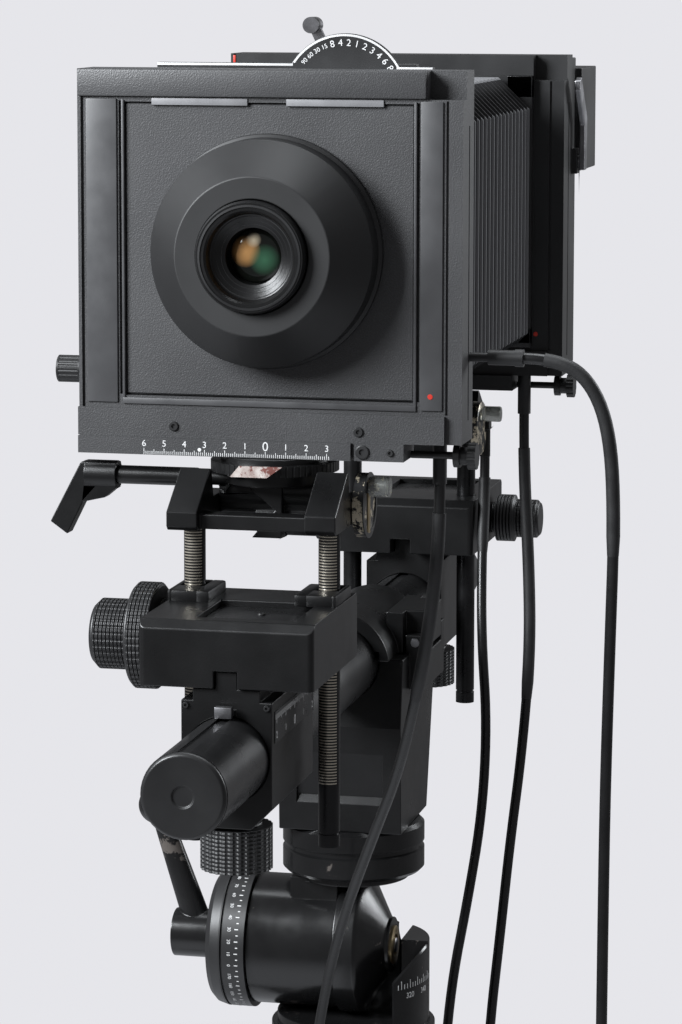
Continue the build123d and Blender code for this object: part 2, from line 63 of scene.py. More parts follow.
# ---- camera ---------------------------------------------------------------
# stands in front of the right corner, a little above the lens, and looks slightly down
lens = bpy.data.cameras.new("photo_lens")
lens.lens = 126.41
lens.sensor_width = 36.0
lens.sensor_fit = "AUTO"
lens.shift_y = -0.109
lens.clip_end = 120
camera = bpy.data.objects.new("photo_camera", lens)
camera.location = (0.4095, -1.8298, 1.2229)
camera.rotation_euler = (math.pi / 2 - 0.1215, -0.0014, 0.2225)
bpy.context.collection.objects.link(camera)
bpy.context.scene.camera = camera


# ---- mesh building ----------------------------------------------------------
class Shape:
    """A mesh under construction, in millimetres about the lens centre."""

    def __init__(self):
        self.bm = bmesh.new()

    def box(self, x0, x1, y0, y1, z0, z1, bevel=0.5):
        """A block between two corners, with rounded edges."""
        made = bmesh.ops.create_cube(self.bm, size=1)["verts"]
        bmesh.ops.scale(self.bm, vec=(x1 - x0, y1 - y0, z1 - z0), verts=made)
        middle = ((x0 + x1) / 2, (y0 + y1) / 2, (z0 + z1) / 2)
        bmesh.ops.translate(self.bm, vec=middle, verts=made)
        edges = list(dict.fromkeys(edge for vert in made for edge in vert.link_edges))
        bmesh.ops.bevel(self.bm, geom=edges, offset=bevel, segments=2, profile=0.6, affect="EDGES")
        return self

    def lathe(self, profile, origin, axis, sides=48):
        """A turned shape from (radius, along) pairs."""
        spin = Vector((0, 0, 1)).rotation_difference(Vector(axis))
        base = Vector(origin)
        rings = []
        for radius, along in profile:
            count = 1 if radius < 1e-6 else sides
            ring = []
            for i in range(count):
                turn = 2 * math.pi * i / sides
                place = Vector((radius * math.cos(turn), radius * math.sin(turn), along))
                ring.append(self.bm.verts.new(base + spin @ place))
            rings.append(ring)
        for first, second in zip(rings, rings[1:]):
            for i in range(sides):
                j = (i + 1) % sides
                corners = [first[i % len(first)], second[i % len(second)],
                           second[j % len(second)], first[j % len(first)]]
                face = list(dict.fromkeys(corners))
                if len(face) > 2:
                    self.bm.faces.new(face)
        return self

    def tube(self, line, radii):
        """A tube along points; radii is one number or one for each point."""
        sides = 14
        if not isinstance(radii, (list, tuple)):
            radii = [radii] * len(line)
        ahead = (line[1] - line[0]).normalized()
        side = ahead.orthogonal().normalized()
        rings = []
        for i, place in enumerate(line):
            before = line[max(i - 1, 0)]
            after = line[min(i + 1, len(line) - 1)]
            heading = (after - before).normalized()
            side = (side - heading * side.dot(heading)).normalized()
            other = heading.cross(side)
            ring = []
            for k in range(sides):
                turn = 2 * math.pi * k / sides
                out = side * math.cos(turn) + other * math.sin(turn)
                ring.append(self.bm.verts.new(place + out * radii[i]))
            rings.append(ring)
        for first, second in zip(rings, rings[1:]):
            for k in range(sides):
                j = (k + 1) % sides
                self.bm.faces.new((first[k], first[j], second[j], second[k]))
        self.bm.faces.new(rings[0])
        self.bm.faces.new(rings[-1])
        return self

    def plate(self, outline, thick):
        """A flat plate: outline points, pushed along the vector thick."""
        low = [self.bm.verts.new(Vector(p)) for p in outline]
        high = [self.bm.verts.new(Vector(p) + Vector(thick)) for p in outline]
        self.bm.faces.new(low)
        self.bm.faces.new(high)
        count = len(outline)
        for i in range(count):
            j = (i + 1) % count
            self.bm.faces.new((low[i], low[j], high[j], high[i]))
        return self

    def text(self, words, size, origin, right, up, thick=0.05):
        """Raised figures, centred on origin and read along right."""
        curve = bpy.data.curves.new("words", "FONT")
        curve.body = words
        curve.size = size
        curve.align_x = "CENTER"
        curve.align_y = "CENTER"
        curve.extrude = thick
        holder = bpy.data.objects.new("words", curve)
        mesh = bpy.data.meshes.new_from_object(holder)
        across = Vector(right).normalized()
        rise = Vector(up).normalized()
        turn = Matrix((across, rise, across.cross(rise))).transposed().to_4x4()
        mesh.transform(Matrix.Translation(origin) @ turn)
        self.bm.from_mesh(mesh)
        bpy.data.objects.remove(holder)
        return self

    def done(self, name, material, body, slot=None, sharp=35, in_metres=False):
        """Turn the mesh into a finished piece of the scene."""
        bmesh.ops.recalc_face_normals(self.bm, faces=self.bm.faces)
        if not in_metres:
            bmesh.ops.transform(self.bm, matrix=TO_FRAME, verts=self.bm.verts)
        mesh = bpy.data.meshes.new(name)
        self.bm.to_mesh(mesh)
        self.bm.free()
        mesh.materials.append(material)
        mesh.shade_smooth()
        mesh.set_sharp_from_angle(angle=math.radians(sharp))
        piece = bpy.data.objects.new(name, mesh)
        bpy.context.collection.objects.link(piece)
        if body:
            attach(piece, body)
        return piece


# ---- materials ---------------------------------------------------------------
def ramp(nodes, links, source, low, high, low_colour=(0, 0, 0, 1), high_colour=(1, 1, 1, 1)):
    """Colour that runs from one end to the other while source goes from low to high."""
    made = nodes.new("ShaderNodeValToRGB")
    made.color_ramp.elements[0].position = low
    made.color_ramp.elements[1].position = high
    made.color_ramp.elements[0].color = low_colour
    made.color_ramp.elements[1].color = high_colour
    links.new(source, made.inputs["Fac"])
    return made.outputs["Color"]


def blend_colours(nodes, links, factor, first, second):
    made = nodes.new("ShaderNodeMix")
    made.data_type = "RGBA"
    links.new(factor, made.inputs["Factor"])
    for socket, value in ((made.inputs[6], first), (made.inputs[7], second)):
        if isinstance(value, tuple):
            socket.default_value = value
        else:
            links.new(value, socket)
    return made.outputs[2]


def grey(value, tint=1.04):
    return (value, value, value * tint, 1)


def surface(name, dark, light, rough, metal=0.0, grain=0.5, bump=0.0, patches=12.0,
            worn=(0.35, 0.35, 0.35, 1), specular=0.5, rub=0.0, rub_size=30.0, crackle=False):
    """Painted, moulded or plated surface: two tones in patches, fine grain (both in mm), rubbed spots."""
    material = bpy.data.materials.new(name)
    material.use_nodes = True
    nodes = material.node_tree.nodes
    links = material.node_tree.links
    shader = nodes["Principled BSDF"]
    shader.inputs["Metallic"].default_value = metal
    shader.inputs["Specular IOR Level"].default_value = specular
    place = nodes.new("ShaderNodeTexCoord").outputs["Object"]
    cloud = nodes.new("ShaderNodeTexNoise")
    cloud.inputs["Scale"].default_value = 1 / (patches * MM)
    cloud.inputs["Detail"].default_value = 5
    links.new(place, cloud.inputs["Vector"])
    if crackle:
        fine = nodes.new("ShaderNodeTexVoronoi")
        fine.feature = "SMOOTH_F1"
    else:
        fine = nodes.new("ShaderNodeTexNoise")
        fine.inputs["Detail"].default_value = 2
    fine.inputs["Scale"].default_value = 1 / (grain * MM)
    links.new(place, fine.inputs["Vector"])
    height = fine.outputs["Distance"] if crackle else fine.outputs[0]
    factor = ramp(nodes, links, cloud.outputs[0], 0.3, 0.7)
    colour = blend_colours(nodes, links, factor, dark, light)
    speck = ramp(nodes, links, height, 0.25, 0.75, grey(0.75, 1), grey(1.0, 1))
    tinted = nodes.new("ShaderNodeMix")
    tinted.data_type = "RGBA"
    tinted.blend_type = "MULTIPLY"
    tinted.inputs["Factor"].default_value = 1
    links.new(colour, tinted.inputs[6])
    links.new(speck, tinted.inputs[7])
    colour = tinted.outputs[2]
    if rub:
        spots = nodes.new("ShaderNodeTexNoise")
        spots.inputs["Scale"].default_value = 1 / (rub_size * MM)
        spots.inputs["Detail"].default_value = 9
        spots.inputs["Roughness"].default_value = 0.72
        links.new(place, spots.inputs["Vector"])
        mask = ramp(nodes, links, spots.outputs[0], 0.71 - rub, 0.73 - rub)
        colour = blend_colours(nodes, links, mask, colour, worn)
    links.new(colour, shader.inputs["Base Color"])
    low = max(rough - 0.07, 0.02)
    shine = ramp(nodes, links, cloud.outputs[0], 0.3, 0.7, grey(low, 1), grey(min(rough + 0.07, 1), 1))
    links.new(shine, shader.inputs["Roughness"])
    if bump:
        relief = nodes.new("ShaderNodeBump")
        relief.inputs["Strength"].default_value = bump
        relief.inputs["Distance"].default_value = grain * 0.4 * MM
        links.new(height, relief.inputs["Height"])
        links.new(relief.outputs[0], shader.inputs["Normal"])
    return material


def rings_along(nodes, links, direction, pitch):
    """Wave whose crests follow one another along X or Z at a pitch in mm."""
    wave = nodes.new("ShaderNodeTexWave")
    wave.bands_direction = direction
    wave.inputs["Scale"].default_value = math.pi / (10 * pitch * MM)
    links.new(nodes.new("ShaderNodeTexCoord").outputs["Object"], wave.inputs["Vector"])
    return wave.outputs["Fac"]


def masked(nodes, links, factor, source, operation, edge):
    """A factor kept only where source is past an edge."""
    test = nodes.new("ShaderNodeMath")
    test.operation = operation
    test.inputs[1].default_value = edge
    links.new(source, test.inputs[0])
    both = nodes.new("ShaderNodeMath")
    both.operation = "MULTIPLY"
    links.new(factor, both.inputs[0])
    links.new(test.outputs[0], both.inputs[1])
    return both.outputs[0]


def engraved(name, dark, bright, pitch, rough, lowest):
    """Blackened steel post with fine bright lines on its front, down to a given height."""
    material = surface(name, dark, dark, rough, metal=0.8, grain=0.4, bump=0.1)
    nodes = material.node_tree.nodes
    links = material.node_tree.links
    coordinates = nodes.new("ShaderNodeTexCoord")
    place = nodes.new("ShaderNodeSeparateXYZ")
    links.new(coordinates.outputs["Object"], place.inputs[0])
    facing = nodes.new("ShaderNodeSeparateXYZ")
    links.new(coordinates.outputs["Normal"], facing.inputs[0])
    factor = ramp(nodes, links, rings_along(nodes, links, "Z", pitch), 0.45, 0.8)
    factor = masked(nodes, links, factor, place.outputs["Z"], "GREATER_THAN", lowest)
    factor = masked(nodes, links, factor, facing.outputs["Y"], "LESS_THAN", -0.55)
    colour = blend_colours(nodes, links, factor, dark, bright)
    links.new(colour, nodes["Principled BSDF"].inputs["Base Color"])
    return material


def knurled(name, direction, pitch):
    """Diamond-cut grip: the ribs of the CAD cut across by rings along one axis."""
    material = surface(name, grey(0.014), grey(0.02), 0.42, grain=0.4, patches=40)
    nodes = material.node_tree.nodes
    links = material.node_tree.links
    relief = nodes.new("ShaderNodeBump")
    relief.inputs["Strength"].default_value = 1
    relief.inputs["Distance"].default_value = 0.6 * MM
    links.new(rings_along(nodes, links, direction, pitch), relief.inputs["Height"])
    links.new(relief.outputs[0], nodes["Principled BSDF"].inputs["Normal"])
    return material


def glassy(name, colour, rough, through):
    """Clear acrylic; through is how much light passes."""
    material = surface(name, colour, colour, rough, grain=3, patches=30)
    shader = material.node_tree.nodes["Principled BSDF"]
    shader.inputs["Transmission Weight"].default_value = through
    shader.inputs["IOR"].default_value = 1.5
    return material


def pleated(name, half_width, top, ridge_highlight):
    """Bellows cloth with a painted highlight along the pleat ridges: where it is widest or highest."""
    material = surface(name, grey(0.014), grey(0.019), 0.62, grain=0.5, bump=0.3, patches=50, specular=0.2)
    nodes = material.node_tree.nodes
    links = material.node_tree.links
    socket = nodes["Principled BSDF"].inputs["Base Color"]
    place = nodes.new("ShaderNodeSeparateXYZ")
    links.new(nodes.new("ShaderNodeTexCoord").outputs["Object"], place.inputs[0])
    width = nodes.new("ShaderNodeMath")
    width.operation = "ABSOLUTE"
    links.new(place.outputs["X"], width.inputs[0])
    # painted highlight: the ridges at both sides and along the top take the lighter colour
    for source, edge in ((width.outputs[0], half_width), (place.outputs["Z"], top)):
        mask = nodes.new("ShaderNodeMath")
        mask.operation = "GREATER_THAN"
        mask.inputs[1].default_value = edge
        links.new(source, mask.inputs[0])
        plain = socket.links[0].from_socket
        links.new(blend_colours(nodes, links, mask.outputs[0], plain, ridge_highlight), socket)
    return material


def coated_glass(name, spots):
    """Dark glass with soft coloured reflections painted into its colour; each spot is (place, reach in mm,
    colour).
    """
    dark = (0.004, 0.006, 0.005, 1)
    light = (0.006, 0.005, 0.004, 1)
    material = surface(name, dark, light, 0.05, grain=4, patches=9)
    nodes = material.node_tree.nodes
    links = material.node_tree.links
    socket = nodes["Principled BSDF"].inputs["Base Color"]
    place = nodes.new("ShaderNodeTexCoord").outputs["Object"]
    for centre, reach, colour in spots:
        gap = nodes.new("ShaderNodeVectorMath")
        gap.operation = "DISTANCE"
        gap.inputs[1].default_value = at(*centre)
        links.new(place, gap.inputs[0])
        inside = reach * MM * 0.45
        mask = ramp(nodes, links, gap.outputs["Value"], inside, reach * MM, grey(1, 1), grey(0, 1))
        plain = socket.links[0].from_socket
        links.new(blend_colours(nodes, links, mask, plain, colour), socket)
    return material


# paints and plastics
crinkle = surface("crinkle_enamel", grey(0.050), grey(0.055), 0.48, grain=0.55, bump=0.55, patches=60,
                  crackle=True)
panel = surface("side_panel_anodised", grey(0.062), grey(0.070), 0.38, grain=0.3, bump=0.12)
satin = surface("satin_black", grey(0.016), grey(0.021), 0.38, grain=0.35, bump=0.12, patches=40)
hood_paint = surface("hood_satin", grey(0.013), grey(0.015), 0.5, grain=0.3, bump=0.05, patches=60)
cast = surface("cast_paint", grey(0.005), grey(0.008), 0.32, grain=0.6, bump=0.2, patches=40,
               specular=0.42)
gloss = surface("rubbed_black_gloss", grey(0.007), grey(0.010), 0.22, grain=0.4, bump=0.04, patches=25,
                worn=(0.085, 0.075, 0.068, 1), rub=0.10, rub_size=26)
moulded = surface("moulded_black", grey(0.010), grey(0.014), 0.4, grain=0.4, bump=0.15, patches=40)
tube_black = surface("anodised_tube", grey(0.013), grey(0.017), 0.27, grain=0.3, bump=0.04, patches=60)
jacket = surface("cable_jacket", grey(0.009), grey(0.013), 0.27, grain=0.5, bump=0.08, patches=20)
shrink = surface("shrink_sleeve", grey(0.012), grey(0.02), 0.5, grain=0.8, bump=0.2)
rubber = surface("moulded_rubber", grey(0.012), grey(0.02), 0.48, grain=0.5, bump=0.2)
clip_grey = surface("pale_grey_clip", grey(0.2), grey(0.25), 0.42, grain=0.5, bump=0.12)
ink = surface("white_figures", grey(0.66, 1), grey(0.8, 1), 0.5, grain=0.3, bump=0.05)
red = surface("red_dot", (0.55, 0.03, 0.02, 1), (0.62, 0.05, 0.03, 1), 0.4, grain=0.3)
label_black = surface("label_plate", grey(0.010), grey(0.016), 0.3, grain=0.4, bump=0.05)
# metals
chrome = surface("brushed_chrome", grey(0.55), grey(0.68), 0.24, metal=1.0, grain=0.3, bump=0.06)
dull_steel = surface("dull_steel", grey(0.28), grey(0.4), 0.35, metal=1.0, grain=0.4, bump=0.1)
brass = surface("worn_brass", (0.42, 0.31, 0.16, 1), (0.62, 0.5, 0.3, 1), 0.33, metal=1.0, grain=0.4,
                bump=0.1)
scale_face = surface("worn_scale_label", grey(0.02), grey(0.04), 0.3, metal=0.3, grain=0.4, bump=0.1,
                     patches=6, worn=(0.62, 0.55, 0.42, 1), rub=0.17, rub_size=7)
pointer_label = surface("rubbed_pointer_label", (0.42, 0.3, 0.27, 1), (0.55, 0.53, 0.5, 1), 0.3,
                        metal=0.6, grain=0.4, patches=7, worn=(0.16, 0.06, 0.05, 1), rub=0.2, rub_size=9)
black_posts = surface("blackened_steel_posts", grey(0.03), grey(0.04), 0.3, metal=0.8, grain=0.4,
                      bump=0.1)
# surfaces with a pattern of their own
POST_MARKS_END = -252.7
posts = engraved("engraved_steel_posts", grey(0.03), (0.6, 0.55, 0.46, 1), 1.4, 0.3,
                 at(0, 0, POST_MARKS_END).z)
knurl_x = knurled("knurled_grip_x", "X", 1.9)
knurl_z = knurled("knurled_grip_z", "Z", 1.9)
# grey(0.15) is the painted highlight on the bellows ridges
leatherette = pleated("bellows_leatherette", 75.5 * MM, at(0, 0, 73.0).z, grey(0.15))
# painted reflections: amber, green and pale spots at fixed places on the front glass
coated = coated_glass("coated_front_lens", [
    ((-5, -25, 2), 6.2, (0.42, 0.22, 0.08, 1)),
    ((4.5, -25, -2), 5.8, (0.03, 0.09, 0.05, 1)),
    ((-1, -25, 7.5), 3.0, (0.5, 0.42, 0.3, 1)),
])
vial = glassy("acrylic_vial", (0.9, 0.93, 0.88, 1), 0.08, 0.75)

# ---- looks of the CAD parts ----------------------------------------------------
# The rear frame gets the darker satin black, not the front frame's crinkle enamel: painted shade, as its
# front face stands in shadow.
BY_NODE = {
    "front_frame": crinkle, "rear_frame": satin, "lens_board": crinkle, "lens_hood": hood_paint,
    "shutter_dial": satin, "dial_lever": chrome, "front_side_knob": moulded, "film_back": satin,
    "back_lever": dull_steel, "tilt_drum": gloss, "tilt_cap": gloss, "tilt_ring": satin,
    "tilt_handle": gloss, "pan_base": gloss, "platform_disc": gloss, "rail_tube": tube_black,
    "rail_caps": moulded, "front_tilt_scale": scale_face, "tripod_crown": gloss,
    "front_posts": posts, "rear_posts": black_posts, "front_glands": rubber, "rear_glands": rubber,
}
for side in ("front", "rear"):
    BY_NODE[f"{side}_focus_knob"] = knurl_x
    BY_NODE[f"{side}_shift_knob"] = moulded
    BY_NODE[f"{side}_block_knob"] = knurl_z
for number in (1, 2, 3):
    BY_NODE[f"leg_upper_{number}"] = tube_black
    BY_NODE[f"leg_lower_{number}"] = tube_black
FRAMES = ("front_frame", "rear_frame")
ROUNDED = ("front_bearer", "rear_bearer", "front_block", "rear_block", "front_yoke", "rear_yoke",
           "clamp_bracket", "clamp_jaw", "film_back", "front_lever", "front_tilt_head",
           "rear_tilt_head", "tilt_cap", "tilt_drum", "pan_base", "lens_hood", "shutter_dial",
           "tilt_handle", "tripod_crown", "rail_caps", "back_lever")


def weld_points(part):
    weld = part.modifiers.new("weld", "WELD")
    weld.merge_threshold = 0.01 * MM


def round_edges(part):
    """Join flat faces, then give sharp edges a small radius."""
    flat = part.modifiers.new("flat", "DECIMATE")
    flat.decimate_type = "DISSOLVE"
    flat.angle_limit = math.radians(1)
    edge = part.modifiers.new("edge", "BEVEL")
    edge.width = 0.5 * MM
    edge.segments = 2
    edge.limit_method = "ANGLE"
    edge.angle_limit = math.radians(32)
    edge.use_clamp_overlap = False
    shade = part.modifiers.new("shade", "WEIGHTED_NORMAL")
    shade.keep_sharp = True


for node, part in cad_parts.items():
    part.data.materials.clear()
    part.data.materials.append(BY_NODE.get(node, cast))
    if node in FRAMES or node in ROUNDED:
        weld_points(part)
    if node in ROUNDED:
        round_edges(part)


# ---- cables --------------------------------------------------------------------
def centre_line(points):
    """The smooth NURBS line that has these points as its control points."""
    curve = bpy.data.curves.new("line", "CURVE")
    curve.dimensions = "3D"
    curve.resolution_u = 6
    spline = curve.splines.new("NURBS")
    spline.points.add(len(points) - 1)
    for point, place in zip(spline.points, points):
        point.co = (*place, 1)
    spline.order_u = 3
    spline.use_endpoint_u = True
    holder = bpy.data.objects.new("line", curve)
    mesh = bpy.data.meshes.new_from_object(holder)
    line = [vert.co.copy() for vert in mesh.vertices]
    bpy.data.objects.remove(holder)
    return line


CABLE_D = 5.5
SLEEVE_R = 3.35
SLEEVE_END_R = 2.85
COIL_R = 30.5
COIL_TURNS = 3
# where each cable runs, from its gland down to the floor
ROUTES = {
    "1": [(120, 20, -50), (136.5, 20, -50), (152, 21, -60), (161, 24, -84), (163, 28, -126),
          (161, 31, -190), (159, 34, -262), (158, 38, -335), (157, 43, -410), (157, 46, -488),
          (156, 48, -566), (155, 49, -644), (155, 49, -722), (154, 48, -800), (153, 46, -876),
          (152.5, 43, -950), (152, 38, -1020), (150, 18, -1066.75), (150, -32, -1066.75)],
    "2": [(72, 300, -112), (72, 300, -142), (76, 296, -195), (78, 291, -245), (75, 284, -300),
          (70, 276, -350), (66, 270, -400), (61, 264, -455), (59, 259, -520), (60, 256, -590),
          (62, 254, -665), (65, 254, -742), (68, 255, -820), (71, 257, -895), (73, 259, -962),
          (74.74, 261.52, -1020), (92.05, 271.52, -1066.75), (135.35, 296.52, -1066.75)],
    "3": [(46, 322, -140), (46, 322, -158), (46.5, 312, -192), (49, 298, -238), (54, 290, -285),
          (53, 283, -335), (46, 277, -385), (38, 271, -432), (34, 267, -490), (34, 265, -560),
          (36, 264, -635), (39, 264, -712), (42, 265, -790), (43, 266, -868), (44, 266.5, -945),
          (44.98, 268.03, -1020), (54.98, 285.35, -1066.75), (79.98, 328.65, -1066.75)],
    "4": [(79, 23.4, -112), (79, 23.4, -134), (75, 27, -172), (66, 38, -215), (52, 60, -262),
          (32, 85, -306), (13, 104, -352), (0, 115, -400), (-9, 121, -460), (-15, 123, -528),
          (-19, 123, -600), (-22, 122, -675), (-25, 120, -752), (-28, 117, -830), (-30, 114, -905),
          (-31, 112, -965), (-30, 109.93, -1020), (-36.84, 91.14, -1066.75),
          (-53.94, 44.15, -1066.75)],
}
# each coil's middle and its turn in degrees, the cable's whole length, and the
# height about the lens at which its shrink sleeve ends
COILS = {
    "1": (180, -57, 180, 1.71, -152),
    "2": (142, 335, -60, 1.63, -271),
    "3": (66.5, 365.3, -30, 1.60, -196),
    "4": (-34.3, 10.4, 160, 1.65, -228),
}


def coil_places(x, y, degrees):
    """Turns from the way in on top down to the floor, then the way out to the plug."""
    turn_to = Matrix.Translation((x, y, -LENS_HEIGHT / MM)) @ Matrix.Rotation(math.radians(degrees), 4, "Z")
    local = []
    steps = 16
    for i in range(COIL_TURNS * steps + 1):
        turn = 2 * math.pi * i / steps
        height = CABLE_D * (COIL_TURNS + 0.5 - i / steps)
        local.append((COIL_R * math.cos(turn), COIL_R * math.sin(turn), height))
    local.append((COIL_R - 0.5, 16, 3.2))
    local.append((30, 31, 4.5))
    return [turn_to @ Vector(place) for place in local], turn_to


def make_plug(key, turn_to):
    shape = Shape()
    profile = [(0, 0), (2.9, 0), (3.2, 1), (3.2, 3), (2.9, 3.5), (2.9, 4.5), (3.4, 5), (3.4, 7), (3.0, 7.5),
               (3.0, 8.5), (3.8, 9.5), (4.5, 11), (4.5, 20), (4.3, 21.5), (3.0, 22), (3.0, 29.5), (2.5, 30),
               (0, 30)]
    shape.lathe(profile, turn_to @ Vector((30, 30, 4.5)), turn_to.to_3x3() @ Vector(TO_BACK), 32)
    return shape.done(f"plug_{key}", rubber, "tripod", "gland_rubber")


for key, route in ROUTES.items():
    x, y, degrees, length, sleeve_end = COILS[key]
    turns, turn_to = coil_places(x, y, degrees)
    route_points = [at(*place) for place in route]
    coil_points = [TO_FRAME @ place for place in turns]
    line = centre_line(route_points + coil_points)
    plug = make_plug(key, turn_to)
    cable = Shape().tube(line, CABLE_D / 2 * MM).done(f"cable_cord_{key}", jacket, None, "cable_rubber",
                                                    60, True)
    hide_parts(f"cable_{key}", f"cable_coil_{key}")
    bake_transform(cable)
    sleeve_line = [place for place in line if place.z > at(0, 0, sleeve_end).z]
    wide = [SLEEVE_R * MM] * len(sleeve_line)
    wide[-1] = SLEEVE_END_R * MM
    sleeve = Shape().tube(sleeve_line[2:], wide[2:]).done(f"shrink_sleeve_{key}", shrink, None,
                                                          "cable_rubber", 60, True)
    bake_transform(sleeve)
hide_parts("cable_plugs")

# ---- bellows -------------------------------------------------------------------
# One stretch of pleats for each joint between the two frames. A stretch is at
# least as long as its joint can press its pleats together.
STRETCHES = [5.0, 23.0, 30.5, 11.0, 9.5, 65.0, 28.0, 9.5, 11.0, 30.5, 23.0, 5.0]
BELLOWS_FRONT = 39.4
BELLOWS_REAR = 293.2
PLEATS = 24
PLEAT_DEPTH = 7.6
RIDGE_HALF = 76.4
RIDGE_TOP = 74.0
RIDGE_LOW = -71.2
RIDGE_FLAT = 0.12           # part of half a pleat that stays flat along its ridge


def pleat_ring(depth):
    """Rectangle with chamfered corners; depth 0 is a ridge and 1 a valley."""
    inset = PLEAT_DEPTH * depth
    half = RIDGE_HALF - inset
    top = RIDGE_TOP - inset
    low = RIDGE_LOW + inset
    cut = 17.0 + 3.0 * depth
    cut_low = 6.0 + 4.0 * depth
    return [(half - cut, top), (half, top - cut), (half, low + cut_low), (half - cut_low, low),
            (-half + cut_low, low), (-half, low + cut_low), (-half, top - cut), (-half + cut, top)]


def make_bellows():
    scale = (BELLOWS_REAR - BELLOWS_FRONT) / sum(STRETCHES)
    pitch = (BELLOWS_REAR - BELLOWS_FRONT) / PLEATS
    start = BELLOWS_FRONT
    for index, stretch in enumerate(STRETCHES):
        end = start + stretch * scale
        stops = {round(start, 4), round(end, 4)}
        for i in range(PLEATS + 1):
            ridge = BELLOWS_FRONT + pitch * i
            for offset in (-0.5, -RIDGE_FLAT / 2, RIDGE_FLAT / 2):
                stop = ridge + offset * pitch
                if start < stop < end:
                    stops.add(round(stop, 4))
        shape = Shape()
        rings = []
        for stop in sorted(stops):
            phase = abs(((stop - BELLOWS_FRONT) / pitch + 0.5) % 1 - 0.5) * 2
            depth = max(0.0, (phase - RIDGE_FLAT) / (1 - RIDGE_FLAT))
            rings.append([shape.bm.verts.new((x, stop, z)) for x, z in pleat_ring(depth)])
        for first, second in zip(rings, rings[1:]):
            for k in range(8):
                j = (k + 1) % 8
                shape.bm.faces.new((first[k], first[j], second[j], second[k]))
        piece = shape.done(f"bellows_{index + 1}", leatherette, None, "bellows_skin", 20)
        skin = piece.modifiers.new("skin", "SOLIDIFY")
        skin.thickness = 0.6 * MM
        skin.offset = 0
        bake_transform(piece)
        if index == 0:
            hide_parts("bellows")
        start = end


make_bellows()

# ---- fittings that repeat ---------------------------------------------------------
def screw_head(shape, place, axis, radius):
    """Low cap screw: a rounded head with a hexagon socket."""
    inner = radius * 0.45
    profile = [(radius, 0), (radius, 0.5), (radius * 0.85, 0.9), (inner, 0.9), (inner, 0.2), (0, 0.2)]
    shape.lathe(profile, place, axis, 24)


def level_tube(name, radius, origin, body):
    """Tubular spirit level lying across the yoke."""
    rounded = radius - 0.4
    profile = [(0, 0), (rounded, 0), (radius, 0.5), (radius, 9.6), (rounded, 10.2), (0, 10.2)]
    Shape().lathe(profile, origin, TO_RIGHT, 32).done(name, vial, body)


def slide_plate(name, y0, y1, body):
    """Blank plate let into the top of a bearer."""
    plate = Shape().box(-16.6, 29.6, y0, y1, -168, -167.0, 0.3)
    plate.done(name, label_black, body, "black_alloy")


def bellows_mount(name, y0, y1, top_y0, top_z, side_top, body):
    """Four bars that hold one end of the bellows."""
    bars = Shape()
    bars.box(-77, -63, y0, y1, -72, side_top)
    bars.box(63, 77, y0, y1, -72, side_top)
    bars.box(-77, 77, y0, y1, -74, -63)
    bars.box(-77, 77, top_y0, y1, top_z, 75)
    bars.done(name, satin, body, "frame_black")


def mark_on(shape, middle, normal, across, along, half_width):
    """One graduation: a thin plate on a surface, as long as the vector along."""
    side = across * half_width
    shape.plate([middle - side, middle + side, middle + side + along, middle - side + along],
                normal * 0.1)


# ---- front and rear standards -------------------------------------------------------
REAR_FACE = 294
SWING_Y = 13.5              # swing and tilt axes of the front standard
REAR_SWING_Y = REAR_FACE + SWING_Y
TILT_Z = -122

bellows_mount("bellows_front_mount", 27.1, 39.2, 33.4, 62, 60, "front_standard")
bellows_mount("bellows_rear_mount", 288.5, 294.3, 288.5, 63, 75, "rear_standard")

clips = Shape()
clips.box(-57.0, -9.9, -0.7, 1.2, 69.0, 72.3, 0.35)
clips.box(9.0, 56.1, -0.7, 1.2, 69.0, 72.3, 0.35)
clips.done("board_clips", clip_grey, "front_standard", "chrome_trim")
strips = Shape()
for sign in (-1, 1):
    strips.box(sign * 70.8, sign * 72.0, -0.7, 1.5, -74, 71.5, 0.3)
strips.box(-72, 72, -0.9, 1.5, -74.5, -71.6, 0.4)
strips.box(74, 84.6, -0.9, 0.2, -74, 71.8, 0.5)
strips.box(-89.6, -74.4, -0.9, 0.2, -74, 71.8, 0.5)
strips.done("front_panels", panel, "front_standard", "frame_black")
top_bar = Shape().box(-93.6, 76.6, -2.0, 1.0, 73.0, 85.8, 0.9)
top_bar.done("front_top_bar", crinkle, "front_standard", "frame_black")

screws = Shape()
screw_head(screws, (-46.1, -2.4, -84.6), TO_FRONT, 2.4)
screw_head(screws, (44.6, -2.4, -84.8), TO_FRONT, 2.4)
screw_head(screws, (47.1, -5.0, -94.0), TO_FRONT, 3.4)
screw_head(screws, (60.5, -5.0, -94.0), TO_FRONT, 1.7)
screws.done("front_screws", satin, "front_standard", "black_alloy")

DOT_PROFILE = [(1.25, 0), (1.25, 0.25), (0, 0.3)]
front_dot = Shape().lathe(DOT_PROFILE, (78.9, -0.85, -67.2), TO_FRONT, 24)
front_dot.done("front_red_dot", red, "front_standard")
rear_marks = Shape().lathe(DOT_PROFILE, (79.1, REAR_FACE, -67.0), TO_FRONT, 24)
rear_marks.box(-92.7, -91.3, 293.8, 295, 80.5, 85.0, 0.2)
rear_marks.done("rear_red_marks", red, "rear_standard")


def shift_scale():
    """Centimetre figures and millimetre marks on the bar under the front frame."""
    figures = Shape()
    for centimetre in range(-6, 4):
        size = 6.2 if centimetre == 0 else 4.4
        place = (10 * centimetre, -6.02, -92.9)
        figures.text(str(abs(centimetre)), size, place, TO_RIGHT, UPWARD)
    foot = -98.1
    for x in range(-60, 32):
        tall = 2.9 if x % 10 == 0 else (2.4 if x % 5 == 0 else 1.6)
        figures.box(x - 0.15, x + 0.15, -6.08, -5.9, foot, foot + tall, 0.02)
    figures.lathe([(0.9, 0), (0, 0.08)], (-32.5, -6.0, -95.2), TO_FRONT, 20)
    figures.done("shift_scale_figures", ink, "front_standard")


shift_scale()

